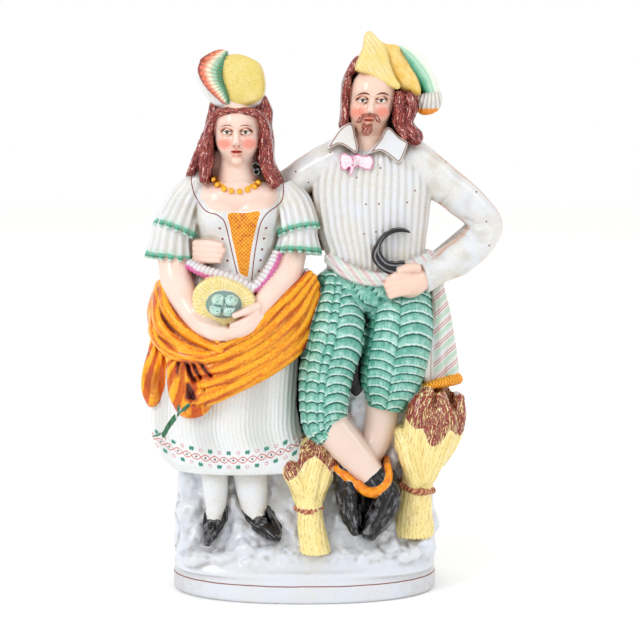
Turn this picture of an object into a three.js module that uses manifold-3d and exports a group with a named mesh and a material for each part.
// A press-moulded earthenware group: a girl and a man at harvest on an oval base, with two wheat sheaves.
// Millimetres, +Z up, the front faces -Y. The origin is the centre of the base's underside.
import * as THREE from 'three';
import { mergeVertices } from 'three/addons/utils/BufferGeometryUtils.js';
import Module from 'manifold-3d';

const wasm = await Module();
wasm.setup();

// Driving dimensions
const HEIGHT = 350; // from the underside to the peak of the man's hat
const BASE_HALF_WIDTH = 84;
const BASE_FRONT = -48;
const BASE_BACK = 32;
const BASE_HEIGHT = 20;
const BASE_LINE_HEIGHT = 11.4; // where a thin line is painted round the base
const BASE_STEP = 0.6; // the base above the line is this much smaller
const FRONT_POWER = 2.2; // how square the base's oval is: 2 is an ellipse
const BACK_POWER = 5; // it is much squarer behind
const BACK_PLANE = 30; // the group is pressed flat behind this depth, just above the base
const BACK_PLANE_TOP = 20; // and behind this depth at the top
const ROOT = 15; // a form leaves the mould without undercuts: it runs straight back to this depth
const FLOWER_SPACING = 9; // between the flowers in the straw hat
const FINGER_PITCH = 3.7; // between the fingers of a hand

// The girl stands left of the middle and the man right of it. These are the axes of head and body.
const GIRL_X = -41;
const GIRL_HEAD_Z = 287;
const MAN_X = 43;
const MAN_HEAD = { x: 41, z: 306, lean: 3 };

const DEPTH_AXIS = new THREE.Vector3(0, 1, 0);
const UP_AXIS = new THREE.Vector3(0, 0, 1);

// A geometry with only its positions, its seams welded shut.
function welded(geometry) {
  geometry.deleteAttribute('normal');
  geometry.deleteAttribute('uv');
  return mergeVertices(geometry, 1e-5);
}

// A closed three.js geometry as a solid that can be joined and cut.
function solidOf(geometry) {
  const shell = welded(geometry);
  return new wasm.Manifold(new wasm.Mesh({
    numProp: 3,
    vertProperties: shell.attributes.position.array,
    triVerts: new Uint32Array(shell.index.array),
  }));
}

// One solid out of many geometries.
function joined(geometries) {
  return geometries.map(solidOf).reduce((all, one) => all.add(one));
}

// The radius of an oval at an angle, as a share of its half sizes. Power 2 is an ellipse, more is squarer.
function ovalRadius(angle, frontPower, backPower = frontPower) {
  const power = Math.sin(angle) > 0 ? backPower : frontPower;
  return (Math.abs(Math.cos(angle)) ** power + Math.abs(Math.sin(angle)) ** power) ** (-1 / power);
}

// A closed form of oval rings along a smooth centre line. Each node is [x, y, z, halfWidth, halfDepth].
// halfWidth lies across the line, square to the depth axis, and halfDepth along it.
// relief(along, angle) scales a ring: angle 0 is its side, and -90 degrees its front. A ring's back half runs
// back to the root, unless it is level: level rings are whole ovals, horizontal, as on a skirt that leans.
function limb(nodes, options = {}) {
  const { sides = 6, steps = 4, tip = 0.6, relief = () => 1, level = false } = options;
  const { power = 2, backPower = power } = options;
  const centres = nodes.map(([x, y, z]) => new THREE.Vector3(x, y, z));
  const line = new THREE.CatmullRomCurve3(centres, false, 'centripetal');
  const halfSizes = nodes.map(([, , , width, thickness]) => new THREE.Vector3(width, thickness ?? width, 0));
  const halfSizeLine = new THREE.CatmullRomCurve3(halfSizes, false, 'catmullrom', 0.3);
  const rings = steps + 2;
  const geometry = welded(new THREE.SphereGeometry(1, sides, rings));
  const position = geometry.attributes.position;
  for (let i = 0; i < position.count; i++) {
    const onSphere = new THREE.Vector3().fromBufferAttribute(position, i);
    const ring = Math.round((Math.acos(THREE.MathUtils.clamp(onSphere.y, -1, 1)) / Math.PI) * rings);
    const along = THREE.MathUtils.clamp((ring - 1) / steps, 0, 1);
    const half = halfSizeLine.getPoint(along);
    const tangent = level ? UP_AXIS : line.getTangent(along);
    const across = new THREE.Vector3().crossVectors(DEPTH_AXIS, tangent).normalize();
    const inward = new THREE.Vector3().crossVectors(tangent, across).normalize();
    const place = line.getPoint(along);
    if (ring === 0 || ring === rings) {
      const reach = tip * Math.min(half.x, half.y);
      place.addScaledVector(tangent, ring === 0 ? -reach : reach);
    } else {
      const angle = Math.atan2(onSphere.z, onSphere.x);
      const behind = !level && Math.sin(angle) > 0.1;
      const radius = ovalRadius(angle, power, backPower) * relief(along, angle);
      const sideways = behind ? Math.sign(Math.round(10 * Math.cos(angle))) : Math.cos(angle) * radius;
      place.addScaledVector(across, half.x * sideways);
      place.addScaledVector(inward, behind ? 0 : half.y * Math.sin(angle) * radius);
      place.y = behind ? ROOT : place.y;
    }
    position.setXYZ(i, place.x, place.y, place.z);
  }
  return geometry;
}

// The front half of an ellipsoid, turned about the depth axis by a number of degrees, run back to the root.
function blob([x, y, z], [halfWidth, halfDepth, halfHeight], { turn = 0, sides = 8, rings = 4 } = {}) {
  const geometry = welded(new THREE.SphereGeometry(1, sides, rings));
  const position = geometry.attributes.position;
  for (let i = 0; i < position.count; i++) {
    const onSphere = new THREE.Vector3().fromBufferAttribute(position, i);
    if (onSphere.y > 0.1) {
      const width = Math.hypot(onSphere.x, onSphere.z);
      const spread = width > 0.1 ? 1 / width : 0;
      position.setXYZ(i, onSphere.x * spread, (ROOT - y) / halfDepth, onSphere.z * spread);
    } else {
      position.setY(i, onSphere.y);
    }
  }
  geometry.scale(halfWidth, halfDepth, halfHeight);
  geometry.rotateY(THREE.MathUtils.degToRad(turn));
  geometry.translate(x, y, z);
  return geometry;
}

// Pleats round a form: a wave of a given count whose height is a share of the ring.
function pleats(count, height) {
  return (along, angle) => 1 + height * Math.cos(count * angle);
}

// The oval base: a drum, and a slightly smaller one from the painted line up.
function baseForms() {
  const OVAL_POINTS = 32;
  const middle = (BASE_FRONT + BASE_BACK) / 2;
  const halfDepth = (BASE_BACK - BASE_FRONT) / 2;
  const drum = (inset, bottom, top) => {
    const outline = new THREE.Shape();
    for (let i = 0; i < OVAL_POINTS; i++) {
      const angle = (i / OVAL_POINTS) * 2 * Math.PI;
      const radius = ovalRadius(angle, FRONT_POWER, BACK_POWER);
      const x = (BASE_HALF_WIDTH - inset) * Math.cos(angle) * radius;
      const y = middle + (halfDepth - inset) * Math.sin(angle) * radius;
      if (i === 0) {
        outline.moveTo(x, y);
      } else {
        outline.lineTo(x, y);
      }
    }
    const geometry = new THREE.ExtrudeGeometry(outline, { depth: top - bottom, bevelEnabled: false });
    geometry.translate(0, 0, bottom);
    return geometry;
  };
  return [drum(0, 0, BASE_LINE_HEIGHT), drum(BASE_STEP, BASE_LINE_HEIGHT - 1, BASE_HEIGHT)];
}

// The back: a flat slab just inside the group's outline, with the two openings beside the man's body.
function backSolid() {
  const OUTLINE = [
    [-60, 15], [-60, 76], [-92, 92], [-96, 112], [-99, 140], [-91, 158], [-92, 176], [-84, 190], [-87, 204],
    [-92, 217], [-86, 235], [-70, 257], [-66, 272], [-58, 292], [-52, 304], [-60, 318], [-56, 331],
    [-44, 335], [-30, 331], [-29, 318], [-28, 307], [-24, 298], [-23, 280], [-17, 260], [-4, 266], [14, 279],
    [26, 289], [27, 322], [40, 344], [50, 339], [64, 337], [74, 330], [81, 315], [81, 304], [72, 304],
    [69, 288], [86, 272], [107, 253], [118, 238], [118, 227], [106, 214], [88, 203], [90, 178], [97, 140],
    [93, 128], [99, 118], [96, 101], [82, 82], [60, 70], [60, 15],
  ];
  const OPENINGS = [
    [[0, 216], [17, 212], [18, 199], [5, 197], [-1, 204]],
    [[76, 250], [101, 231], [75, 209]],
  ];
  const SLAB_FRONT = 8;
  const plate = (points, front, back) => {
    const outline = new THREE.Shape(points.map(([x, z]) => new THREE.Vector2(x, z)));
    const geometry = new THREE.ExtrudeGeometry(outline, { depth: back - front, bevelEnabled: false });
    geometry.rotateX(Math.PI / 2);
    geometry.translate(0, back, 0);
    return solidOf(geometry);
  };
  const slab = plate(OUTLINE, SLAB_FRONT, BACK_PLANE + 1);
  const openings = OPENINGS.map((points) => plate(points, SLAB_FRONT - 1, BACK_PLANE + 2));
  return openings.reduce((rest, opening) => rest.subtract(opening), slab);
}

// Rocky ground that slopes up from the base and stands as a wall behind the legs.
function groundForms() {
  const lumps = (along, angle) => {
    return 1 + 0.012 * Math.sin(7 * angle + 9 * along) + 0.012 * Math.sin(11 * angle - 5 * along);
  };
  const bank = limb([
    [0, -8, 17, 82, 38.5], [0, -4, 28, 83.5, 35], [0, 0, 40, 84, 30], [0, 5, 52, 84, 25],
    [0, 9, 64, 82.5, 21], [-2, 9, 78, 80, 21],
  ], { sides: 24, steps: 5, tip: 0, power: 2.6, backPower: BACK_POWER, relief: lumps, level: true });
  const wall = limb([
    [40, 8, 60, 40, 20], [40, 9, 110, 34, 17], [40, 9, 165, 30, 15],
  ], { steps: 2, level: true });
  return [bank, wall];
}

// A bound sheaf: fluted stalks, the tie round its waist, and the ears that lean out of its top.
function sheafForms(stalks, tie, ears) {
  const body = limb(stalks, { sides: 14, steps: 5, tip: 0.1, relief: pleats(7, 0.09), level: true });
  const band = limb(tie, { steps: 2, tip: 0.3 });
  const heads = ears.map(([x, y, z, width, height, turn]) => {
    return blob([x, y, z], [width, 8, height], { turn, sides: 6 });
  });
  return [body, band, ...heads];
}

function sheaves() {
  const left = sheafForms(
    [
      [8.5, -39, 31, 10, 9], [6, -36, 43, 9, 8], [3.5, -31, 56, 8, 8], [3, -26, 66, 11.5, 8],
      [6, -20, 80, 17.5, 9], [9, -15, 91, 18, 8], [12, -10, 99, 12, 8],
    ],
    [[-4.5, -32, 56, 1.8, 3], [3, -38.5, 55.5, 1.8, 3], [11.5, -32, 57, 1.8, 3]],
    [[-5, -23, 79, 6, 9, 30], [14, -22, 83, 6, 9, -15]],
  );
  const right = sheafForms(
    [
      [72, -20, 36, 12.5, 12], [71.5, -19, 52, 11, 10], [71.5, -18, 65, 9.5, 9], [75, -15, 80, 12, 10],
      [80, -11, 102, 20, 12], [84, -7, 120, 15, 8],
    ],
    [[62, -19, 67.5, 2, 3], [72, -27.5, 65.5, 2, 3], [82, -18, 63, 2, 3]],
    [[74, -14, 117, 9, 10, 20], [86, -11, 120, 7, 9, 0], [96.5, -6, 113, 6.5, 10, -15]],
  );
  return [...left, ...right];
}

// The girl's pleated skirt, her stockinged legs and her shoes.
function skirtForms() {
  const skirt = limb([
    [-40.5, -2, 79, 46, 32], [-44, -2, 86, 49.5, 33], [-50, -2, 104, 48, 30], [-50, -2, 122, 46, 29],
    [-48, -2, 150, 44, 29], [-46, -2, 180, 39, 27], [-43, -3, 206, 23, 19],
  ], { sides: 32, steps: 6, tip: 0, power: 2.3, relief: pleats(16, 0.02), level: true });
  const legs = [
    limb([[-57, -14, 84, 9.5, 9], [-56, -19, 66, 8, 8], [-55.5, -23, 52, 6.5, 7]], { sides: 7, steps: 2 }),
    limb([[-35, -14, 84, 12, 9], [-33, -19, 66, 10, 8], [-32, -23, 53, 8, 7]], { sides: 7, steps: 2 }),
  ];
  const shoes = [
    [[-54, -18, 51, 6, 5], [-56.5, -31, 47, 6.5, 5], [-59, -43, 40.5, 3.5, 3]],
    [[-35, -19, 52, 6, 5], [-27, -31, 48, 6.5, 5], [-15, -41, 41.5, 3.2, 3]],
  ].map((nodes) => limb(nodes, { steps: 3 }));
  return [skirt, ...legs, ...shoes];
}

// Her bodice, the two tiers of each sleeve and the ruffle below the waist.
function bodiceForms() {
  const bodice = limb([
    [GIRL_X, -5, 196, 20, 19], [GIRL_X, -5, 214, 23.5, 19], [GIRL_X, -5, 236, 27, 19],
    [GIRL_X, -4, 249, 28.5, 17], [GIRL_X, -1, 259, 22, 13], [GIRL_X, -3, 265, 12, 11],
  ], { sides: 12, steps: 5, tip: 0.2, power: 2.2 });
  const bust = [-11.5, 11.5].map((side) => blob([GIRL_X + side, -15, 238], [12.5, 14, 12]));
  const flare = (along, angle) => 1 + 0.07 * along * Math.cos(6 * angle);
  const sleeves = [
    [[-65, -3, 260, 8, 11], [-73, -4, 246, 11.5, 13], [-80.5, -6, 229.5, 13.5, 15]],
    [[-80, -6, 236, 12, 13], [-83.5, -9, 213, 15.5, 15]],
    [[-13, -4, 256, 8, 11], [-7, -5, 244, 12, 13], [-3, -7, 229, 12.5, 15]],
    [[-3, -7, 236, 11, 13], [-4, -10, 215.5, 14.5, 15]],
  ].map((nodes) => limb(nodes, { sides: 12, steps: nodes.length - 1, tip: 0, relief: flare }));
  const ruffle = limb([
    [-72, -20, 209, 3.5], [-58, -28, 203.5, 3.5], [-44, -33, 200, 3.5], [-31, -33, 194, 3.5],
    [-22, -28, 204, 3.5], [-17, -20, 214, 3.5],
  ], { steps: 5 });
  return [bodice, ...bust, ...sleeves, ruffle];
}

// Her bare forearms, and the hands that hold a straw hat with four flowers in it.
function girlArmForms() {
  const arms = [
    [
      [-82, -12, 214, 10, 10], [-78, -20, 196, 9.5, 9], [-71, -31, 185, 8, 8], [-62, -40, 174.5, 6.5, 6],
      [-53, -45, 170, 5.5, 5],
    ],
    [
      [-7, -10, 216, 10, 10], [-11.5, -19, 201, 9.5, 9], [-21, -30, 190, 7.5, 8], [-29, -38, 180, 6, 6],
      [-37, -44, 172, 5, 5],
    ],
  ].map((nodes) => limb(nodes, { sides: 7 }));
  const hands = [
    [[-58, -44, 170.5, 4.5, 4.5], [-50, -47, 168.5, 4.2, 4.2], [-41, -47, 169, 3, 3]],
    [[-30, -42, 179, 4.5, 5], [-36, -46, 174, 5, 4.5], [-44, -49, 171, 3, 3]],
    [[-30, -43, 184.5, 2.5, 3], [-41, -48.5, 181, 1.8, 2]],
  ].map((nodes) => limb(nodes, { steps: 2 }));
  const hat = blob([-49, -39, 188], [18.5, 8, 14], { sides: 12, rings: 5 });
  const flowers = [-1, 1].flatMap((column) => [-1, 1].map((row) => {
    const place = [-48 + 0.55 * FLOWER_SPACING * column, -45.5, 186.5 + 0.5 * FLOWER_SPACING * row];
    return blob(place, [4.8, 5.5, 4.4], { sides: 7 });
  }));
  return [...arms, ...hands, hat, ...flowers];
}

// Her shawl: heavy folds across the hips, a puff at the side, a knot and two hanging ends.
function shawlForms() {
  const frontFolds = [
    [[3, -14, 199, 5, 8], [-13, -29, 182, 6.5, 8], [-30, -38, 167, 6.5, 8], [-50, -41, 160, 6.5, 8],
      [-72, -36, 156, 5, 7]],
    [[5, -13, 192, 6, 9], [-8, -26, 173, 7, 9], [-27, -36, 158, 7, 9], [-49, -38, 149, 7, 9],
      [-69, -36, 147, 6, 7]],
    [[4, -13, 183, 6, 9], [-5, -21, 167, 7, 9], [-23, -32, 152, 7, 9], [-44, -35, 141, 7, 9],
      [-62, -35, 134, 6, 7]],
  ];
  const sideFolds = [
    [[-86, -14, 192, 4.5, 8], [-80, -28, 178, 6, 8], [-66, -37, 166, 6, 8], [-48, -41, 159, 6, 7]],
    [[-90, -12, 184, 5.5, 9], [-86, -25, 169, 6.5, 9], [-72, -34, 160, 6.5, 8], [-54, -40, 153, 6, 7]],
    [[-92, -10, 175, 6, 10], [-90, -20, 162, 6.5, 9], [-78, -31, 154, 6, 8], [-60, -38, 149, 6, 7]],
  ];
  const folds = [...frontFolds, ...sideFolds].map((nodes) => limb(nodes));
  const puff = limb([[-86, -4, 190, 8, 13], [-90, -6, 175, 9.5, 14], [-88, -6, 160, 8, 13]], { steps: 2 });
  const ends = [
    [[-89, -9, 164, 7, 11], [-93.5, -9, 146, 10, 12], [-94, -9, 128, 9.5, 11], [-95, -10, 118, 6, 8]],
    [[-74, -31, 158, 6, 7], [-73, -31, 145, 10, 9], [-70, -32, 130, 12.5, 9], [-68, -32, 117, 8.5, 7]],
  ].map((nodes) => limb(nodes, { sides: 10, steps: 3, relief: pleats(5, 0.08) }));
  const knot = limb([[-86, -23, 158, 5, 7], [-73, -35, 153, 6, 7], [-58, -39, 147, 5, 6]], { steps: 3 });
  return [...folds, puff, ...ends, knot];
}

// Her head, neck, long hair and plumed hat.
function girlHeadForms() {
  const x = GIRL_X + 0.5;
  const z = GIRL_HEAD_Z;
  const head = limb([
    [x, -12, z + 20, 9, 10], [x, -13, z + 10, 14, 15.5], [x, -14, z - 2, 13.5, 15],
    [x, -16, z - 12, 9.5, 11.5], [x, -18, z - 16.5, 5, 7],
  ], { sides: 10, tip: 0.3 });
  const nose = limb([[x, -27.5, z + 4, 1.5, 2], [x, -29.5, z - 2.5, 2.3, 2.4]], { steps: 1 });
  const neck = limb([[GIRL_X, -8, z - 30, 11.5, 11], [x, -9, z - 10, 9.5, 10]], { sides: 7, steps: 1 });
  const locks = [
    [[-46, -13, 305, 7, 8], [-57, -9, 294, 6, 9], [-63, -8, 278, 6, 8], [-72, -9, 262.5, 2.8, 4]],
    [[-46, -20, 302, 5, 6], [-56, -16, 292, 4.5, 7], [-59, -13, 276, 5, 7], [-62, -17, 258, 3.8, 4]],
    [[-34, -13, 305, 7, 8], [-24.5, -9, 296, 5.5, 9], [-23.5, -8, 277, 5.5, 8], [-15, -12, 257, 4, 4]],
    [[-34, -20, 301, 5, 6], [-26.5, -16, 292, 4, 6], [-26, -12, 275, 4.5, 6], [-19, -15, 258, 4, 4]],
  ].map((nodes) => limb(nodes));
  const crown = blob([-36.5, -13, 320], [12.8, 10, 15.5], { sides: 12, rings: 5 });
  const brim = blob([-43, -6, 319.5], [20.5, 11, 16], { turn: -35, sides: 10, rings: 5 });
  const feather = [
    [
      [-47, -11, 337, 3, 5], [-57, -10, 332, 5, 6], [-60, -11, 324, 5, 6], [-55.5, -12, 314, 4.5, 6],
      [-48, -16, 307.5, 3, 4],
    ],
    [[-48, -13, 337.5, 2.5, 4], [-52, -15, 327, 4, 5], [-51, -16, 317, 4, 5], [-47, -18, 307.5, 3, 3]],
  ].map((nodes) => limb(nodes));
  return [head, nose, neck, ...locks, crown, brim, ...feather];
}

// The man's pleated shirt, his arms, collar and bow.
function shirtForms() {
  const frontPleats = (along, angle) => 1 + (Math.sin(angle) < 0 ? 0.03 * Math.cos(12 * angle) : 0);
  const shirt = limb([
    [MAN_X, 1, 198, 33, 20], [44, 1, 212, 33, 21], [MAN_X, 1, 234, 36, 22], [42.5, 1, 254, 38, 22],
    [43.5, 1, 268, 36, 20], [44, 1, 280, 27, 16], [MAN_X, -2, 289, 13, 12],
  ], { sides: 24, steps: 6, tip: 0.2, power: 2.2, relief: frontPleats });
  const armRoundGirl = limb([
    [24, 0, 275, 12, 15], [4, 4, 265, 11, 15], [-12, 8, 252, 12, 14], [-30, 13, 238, 10, 12],
    [-56, 12, 222, 9, 12], [-67, -6, 216, 5, 9],
  ], { sides: 7, steps: 5 });
  const armOnHip = limb([
    [66, 0, 273, 13, 15], [90, 1, 255, 12, 13], [109, 2, 239, 11, 12], [114, 1, 230, 10.5, 12],
    [107, -2, 219, 11, 12], [94, -7, 209.5, 10.5, 11], [80, -14, 203, 8, 9],
  ], { sides: 8, steps: 6 });
  const cuff = limb([[87, -11, 203.5, 8, 8], [76, -17, 202, 9.5, 9]], { sides: 8, steps: 1, tip: 0.2 });
  const collar = [
    [[35, -15, 285, 5, 5], [25, -17, 283.5, 5.5, 5], [17, -15, 281.5, 2.5, 3]],
    [[45, -16, 284, 6, 5], [53, -18, 278, 6, 5], [58.5, -18, 272.5, 2.5, 3]],
  ].map((nodes) => limb(nodes, { steps: 2 }));
  const bow = [[26.5, 5.5, 4.5], [37, 5.5, 4.5], [31.5, 2.5, 3]].map(([x, width, height]) => {
    return blob([x, -19, 271.5], [width, 7, height], { sides: 7 });
  });
  return [shirt, armRoundGirl, armOnHip, cuff, ...collar, ...bow];
}

// His hands, one round the girl's waist and one on his hip, and the sickle that he holds.
function manHandForms() {
  const FINGER_HALF = 2.4;
  const finger = (from, to) => limb([[...from, FINGER_HALF], [...to, 0.85 * FINGER_HALF]], { steps: 1 });
  const fingers = [0, 1, 2, 3].flatMap((i) => {
    const drop = FINGER_PITCH * i;
    const curl = 1.3 * Math.abs(i - 1);
    return [
      finger([-66, -16, 222 - drop], [-49 - curl, -25, 222 - drop]),
      finger([63, -26, 201 - drop], [50.5 + curl, -27, 197.5 - drop]),
    ];
  });
  const thumb = finger([69, -26, 206], [58, -29, 206]);
  const palm = blob([66.5, -21, 198.5], [12, 8.5, 9.5], { sides: 7, rings: 5 });
  const sickle = limb([
    [63, -27, 205, 3.4, 3], [53, -26, 207.5, 2.8, 3], [45, -25, 211.5, 2.6, 3], [42, -24, 218, 2.6, 3],
    [46, -24, 226, 2.4, 3], [54, -24, 229.5, 2, 2.5], [65, -23, 229, 0.8, 2],
  ], { steps: 7 });
  return [...fingers, thumb, palm, sickle];
}

// His breeches, the sash and its hanging end, his shins and ankle boots.
function breechesForms() {
  const hips = limb([
    [44, 0, 208, 32, 20], [43, -1, 195, 36, 22], [42, 2, 180, 28, 16],
  ], { sides: 10, steps: 2 });
  const legs = [
    [
      [24, -5, 196, 16, 19], [19.5, -11, 164, 19.5, 22], [14, -15, 140, 17, 20], [12.5, -18, 122, 15.5, 18],
      [13, -20, 108, 14, 15], [17, -22, 101, 10, 11],
    ],
    [
      [62, -4, 194, 18, 20], [60, -6, 164, 21, 23], [56, -7, 141, 20.5, 22], [54, -8, 128, 18.5, 19],
      [52, -9, 118, 12.5, 14],
    ],
  ].map((nodes) => limb(nodes, { sides: 10, steps: 5, tip: 0.2 }));
  const sash = limb([
    [11, -8, 212, 5, 6], [24, -18, 205, 5, 6], [38, -22, 201.5, 5, 5], [52, -21, 202, 5, 5],
    [68, -16, 207, 5, 6], [78, -5, 211, 5, 7],
  ]);
  const sashEnd = limb([
    [82, -4, 202, 5, 8], [84, -5, 186, 6, 9], [86, -6, 166, 8.5, 9], [87, -6, 148, 11, 8],
    [86.5, -6, 133, 13.5, 8],
  ], { sides: 8, steps: 3, tip: 0.1 });
  const fringe = limb([[71, -10, 127, 3.5, 5], [97, -6, 136, 3.5, 5]], { steps: 1 });
  const shins = [
    [[50, -5, 124, 11, 11], [48, -8, 104, 10, 10], [43, -13, 90, 8.5, 9], [32, -20, 78, 7, 8]],
    [[14, -19, 111, 11, 12], [25, -25, 97, 11, 11], [35, -29, 86, 9.5, 9.5], [44, -31.5, 75, 8, 8.5]],
  ].map((nodes) => limb(nodes, { sides: 7, steps: 3 }));
  const boots = [
    [[26, -24, 77, 7.5, 9], [28, -29, 66, 7.5, 9], [30, -36, 54, 7, 9], [34, -44, 44.5, 4, 5]],
    [[45, -31, 76, 9, 10], [51, -32, 64, 12, 11], [49, -37, 54, 10, 10], [42.5, -46, 43, 4.5, 5]],
  ].map((nodes) => limb(nodes, { sides: 7, steps: 3 }));
  const bootCuffs = [
    [[22, -27, 80, 2.6, 4], [29, -33.5, 75.5, 2.8, 4], [37, -37, 71.5, 2.6, 4]],
    [[36, -37, 74, 2.8, 4], [42, -40, 69.5, 3, 4], [49, -38, 73, 3, 4], [53, -33, 80, 2.4, 4]],
  ].map((nodes) => limb(nodes, { steps: 2 }));
  return [hips, ...legs, sash, sashEnd, fringe, ...shins, ...boots, ...bootCuffs];
}

// His head, neck, hair, short beard and plumed hat.
function manHeadForms() {
  const { x, z, lean } = MAN_HEAD;
  const head = limb([
    [x + 0.8 * lean, -10, z + 19, 9, 10], [x + 0.4 * lean, -11, z + 9, 13.5, 15], [x, -12, z - 3, 13, 15],
    [x - 0.4 * lean, -14.5, z - 13, 9.5, 11.5], [x - 0.5 * lean, -16, z - 17, 5, 7],
  ], { sides: 10, tip: 0.3 });
  const nose = limb([[x - 0.2, -26, z + 3, 1.6, 2], [x - 1, -28, z - 3.5, 2.5, 2.4]], { steps: 1 });
  const moustache = [-1, 1].map((side) => limb([
    [x - 1.3 + side, -26, z - 6.5, 1.4, 2], [x - 1.3 + 8 * side, -22, z - 11.5, 1, 2],
  ], { steps: 1 }));
  const beard = blob([x - 1.5, -21, z - 16], [4, 4, 4.5], { sides: 5 });
  const neck = limb([[x, -7, z - 30, 12, 12], [x + 0.5, -8, z - 11, 10, 10]], { sides: 7, steps: 1 });
  const locks = [
    [[35, -10, 330, 5, 8], [28.5, -8, 322, 5, 8], [26.3, -7, 308, 4, 8], [26, -8, 294.5, 4, 7]],
    [[57, -10, 318, 6, 8], [60, -9, 309, 8, 9], [61.5, -9, 297, 7.5, 8], [69, -13, 284, 4.5, 5]],
    [[63, -6, 318, 6, 8], [65, -7, 304, 5.5, 8], [65.5, -8, 295, 5.5, 7], [70, -9, 289, 4, 5]],
  ].map((nodes) => limb(nodes));
  const crown = limb([[43, -8, 341, 5, 9], [51, -9, 334, 9, 12], [61, -9, 325, 9, 12], [70, -7, 316, 5, 9]],
    { sides: 7, steps: 3 });
  const brim = limb([
    [40.5, -13, HEIGHT - 1.2, 2, 3], [41, -16, 342, 4.5, 6], [44, -17, 334, 9.5, 10],
    [51, -17, 327, 9.5, 11], [61, -14, 318.5, 6.5, 9], [70, -11, 314, 2.5, 5],
  ], { sides: 8, steps: 5 });
  const feather = [
    limb([[58, -3, 338, 4, 6], [67.5, -4, 333.5, 7, 7], [75.5, -5, 323.5, 7.5, 7], [77.5, -5, 313, 7, 7]]),
    limb([[77.5, -5, 315, 6.8, 7], [78.5, -4, 302.5, 7.5, 7]],
      { sides: 10, steps: 1, relief: pleats(5, 0.05) }),
  ];
  return [head, nose, ...moustache, beard, neck, ...locks, crown, brim, ...feather];
}

const forms = [
  baseForms, groundForms, sheaves, skirtForms, bodiceForms, girlArmForms, shawlForms, girlHeadForms,
  shirtForms, manHandForms, breechesForms, manHeadForms,
].flatMap((makeForms) => makeForms());

// The back is pressed flat above the base, leaning forward a little, and the underside is cut level.
function pressedFlat(solid) {
  const REACH = 150; // past the figures on every side
  const profile = new THREE.Shape();
  profile.moveTo(-REACH, 0);
  profile.lineTo(REACH, 0);
  profile.lineTo(REACH, BASE_HEIGHT);
  profile.lineTo(BACK_PLANE, BASE_HEIGHT);
  profile.lineTo(BACK_PLANE_TOP, HEIGHT);
  profile.lineTo(-REACH, HEIGHT);
  const keep = new THREE.ExtrudeGeometry(profile, { depth: 2 * REACH, bevelEnabled: false });
  keep.translate(0, 0, -REACH);
  keep.rotateY(Math.PI / 2);
  keep.rotateX(Math.PI / 2);
  return solid.intersect(solidOf(keep));
}

// A solid as a three.js geometry.
function geometryOf(solid) {
  const { numVert, numProp, vertProperties, triVerts } = solid.getMesh();
  const positions = new Float32Array(3 * numVert);
  for (let i = 0; i < numVert; i++) {
    positions.set(vertProperties.subarray(numProp * i, numProp * i + 3), 3 * i);
  }
  const geometry = new THREE.BufferGeometry();
  geometry.setAttribute('position', new THREE.BufferAttribute(positions, 3));
  geometry.setIndex(new THREE.BufferAttribute(triVerts, 1));
  return geometry;
}

const glaze = new THREE.MeshStandardMaterial({ color: '#eeebe4', roughness: 0.25, metalness: 0 });
const figure = new THREE.Mesh(geometryOf(pressedFlat(joined(forms).add(backSolid()))), glaze);
figure.name = 'harvest_couple';

const part = new THREE.Group();
part.add(figure);
export default part;
